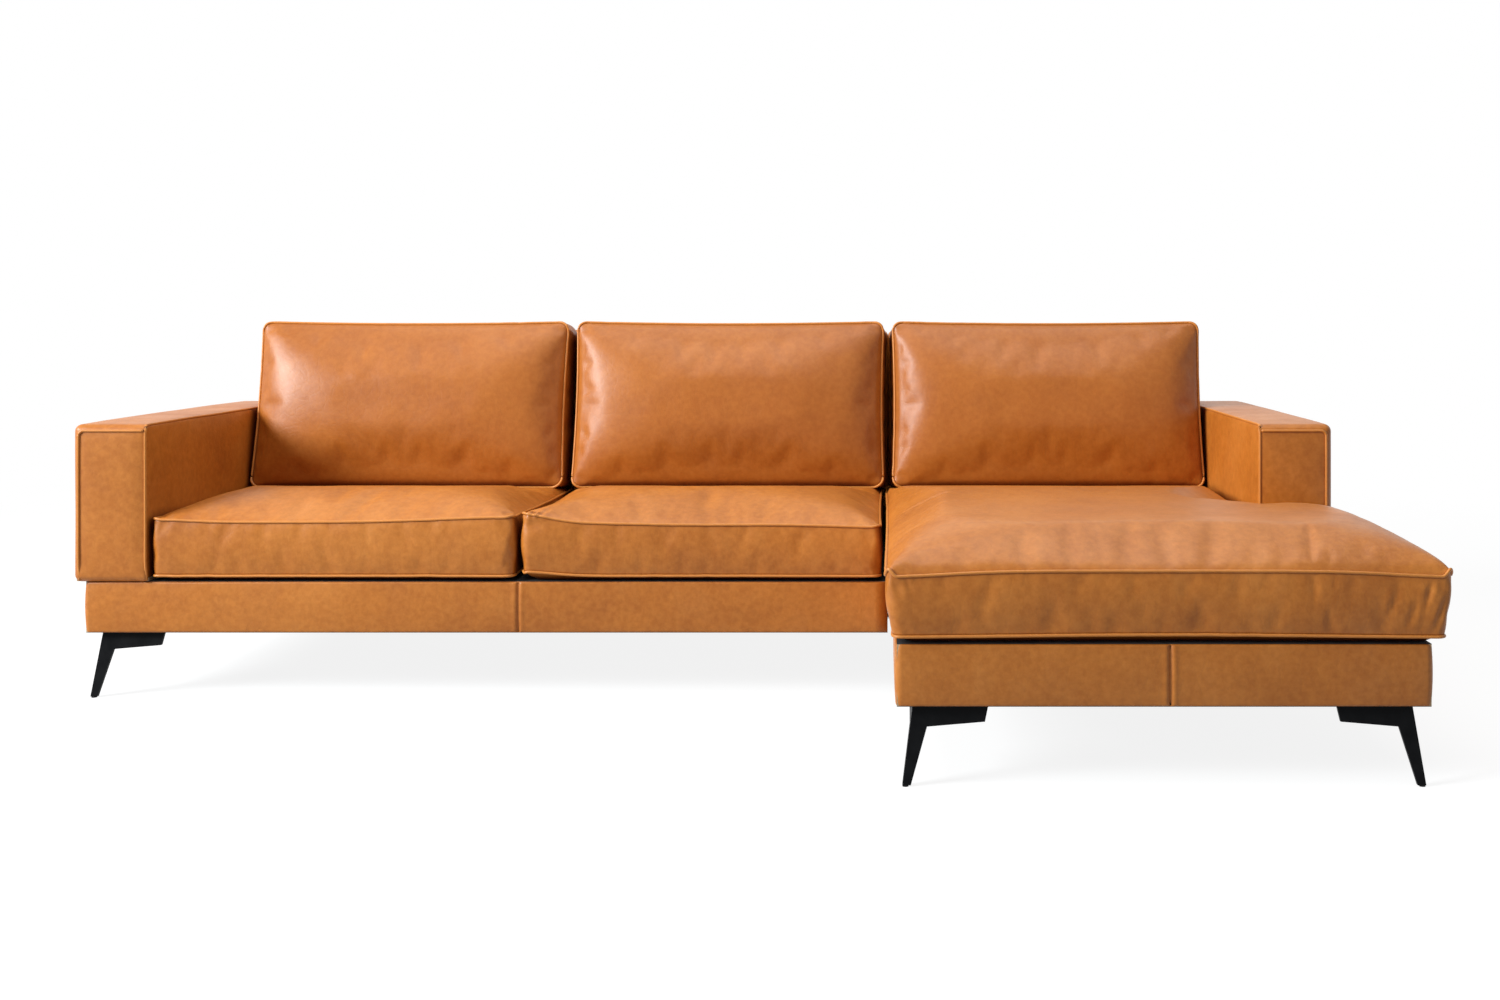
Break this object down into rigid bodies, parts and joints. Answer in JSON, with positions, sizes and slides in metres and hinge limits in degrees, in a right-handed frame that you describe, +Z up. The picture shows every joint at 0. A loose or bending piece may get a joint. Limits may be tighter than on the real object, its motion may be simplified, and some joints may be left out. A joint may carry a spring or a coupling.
{
  "type": "corner sofa",
  "caption": "Low leather corner sofa with a chaise at its right end, loose seat and back cushions, square padded arms and angled black metal corner legs.",
  "frame": {"origin": "on the floor, at the middle of the whole sofa's plan", "axes": "+X to a viewer's right as they face the sofa, towards the chaise; +Y from the front to the back; +Z up"},
  "size_m": [2.958, 1.65, 0.863],
  "materials": {
    "leather": "satin",
    "timber": "matte",
    "foam": "matte",
    "lining": "matte",
    "webbing": "matte",
    "leg_metal": "satin",
    "zinc_steel": "satin",
    "glide_plastic": "matte"
  },
  "bodies": {
    "root": {"main_front_rail": "timber", "main_rear_rail": "timber", "main_left_rail": "timber", "main_right_rail": "timber", "main_centre_rail": "timber", "chaise_front_rail": "timber", "chaise_rear_rail": "timber", "chaise_left_rail": "timber", "chaise_right_rail": "timber", "chaise_centre_rail": "timber", "corner_blocks": "timber", "left_arm_frame": "timber", "right_arm_frame": "timber", "main_back_ribs": "timber", "main_back_rails": "timber", "chaise_back_ribs": "timber", "chaise_back_rails": "timber", "main_front_border": "leather", "main_rear_border": "leather", "main_left_border": "leather", "chaise_front_border": "leather", "chaise_rear_border": "leather", "chaise_left_border": "leather", "chaise_right_border": "leather", "left_arm_cover": "leather", "right_arm_cover": "leather", "main_back_cover": "leather", "chaise_back_cover": "leather", "main_deck_cloth": "lining", "chaise_deck_cloth": "lining", "main_dust_cover": "lining", "chaise_dust_cover": "lining", "main_back_webbing": "webbing", "chaise_back_webbing": "webbing", "left_arm_padding": "foam", "right_arm_padding": "foam", "main_front_left_leg": "leg_metal", "main_rear_left_leg": "leg_metal", "main_rear_right_leg": "leg_metal", "chaise_front_left_leg": "leg_metal", "chaise_front_right_leg": "leg_metal", "chaise_rear_left_leg": "leg_metal", "chaise_rear_right_leg": "leg_metal", "seat_springs": "zinc_steel", "spring_clips": "zinc_steel", "frame_bolts": "zinc_steel", "connector_straps": "zinc_steel", "leg_glides": "glide_plastic"},
    "left_seat": {"left_seat_cover": "leather", "left_seat_core": "foam"},
    "middle_seat": {"middle_seat_cover": "leather", "middle_seat_core": "foam"},
    "chaise_seat": {"chaise_seat_cover": "leather", "chaise_seat_core": "foam"},
    "left_back_cushion": {"left_back_cushion_cover": "leather", "left_back_cushion_core": "foam"},
    "middle_back_cushion": {"middle_back_cushion_cover": "leather", "middle_back_cushion_core": "foam"},
    "chaise_back_cushion": {"chaise_back_cushion_cover": "leather", "chaise_back_cushion_core": "foam"}
  },
  "joints": [
    {"name": "left_seat_pull", "type": "slide", "parent": "root", "child": "left_seat", "axis": [0, -1, 0], "range_m": [0, 0.25]},
    {"name": "middle_seat_pull", "type": "slide", "parent": "root", "child": "middle_seat", "axis": [0, -1, 0], "range_m": [0, 0.25]},
    {"name": "chaise_seat_pull", "type": "slide", "parent": "root", "child": "chaise_seat", "axis": [0, -1, 0], "range_m": [0, 0.25]},
    {"name": "left_back_cushion_lift", "type": "slide", "parent": "root", "child": "left_back_cushion", "axis": [0, 0, 1], "range_m": [0, 0.3]},
    {"name": "middle_back_cushion_lift", "type": "slide", "parent": "root", "child": "middle_back_cushion", "axis": [0, 0, 1], "range_m": [0, 0.3]},
    {"name": "chaise_back_cushion_lift", "type": "slide", "parent": "root", "child": "chaise_back_cushion", "axis": [0, 0, 1], "range_m": [0, 0.3]}
  ]
}
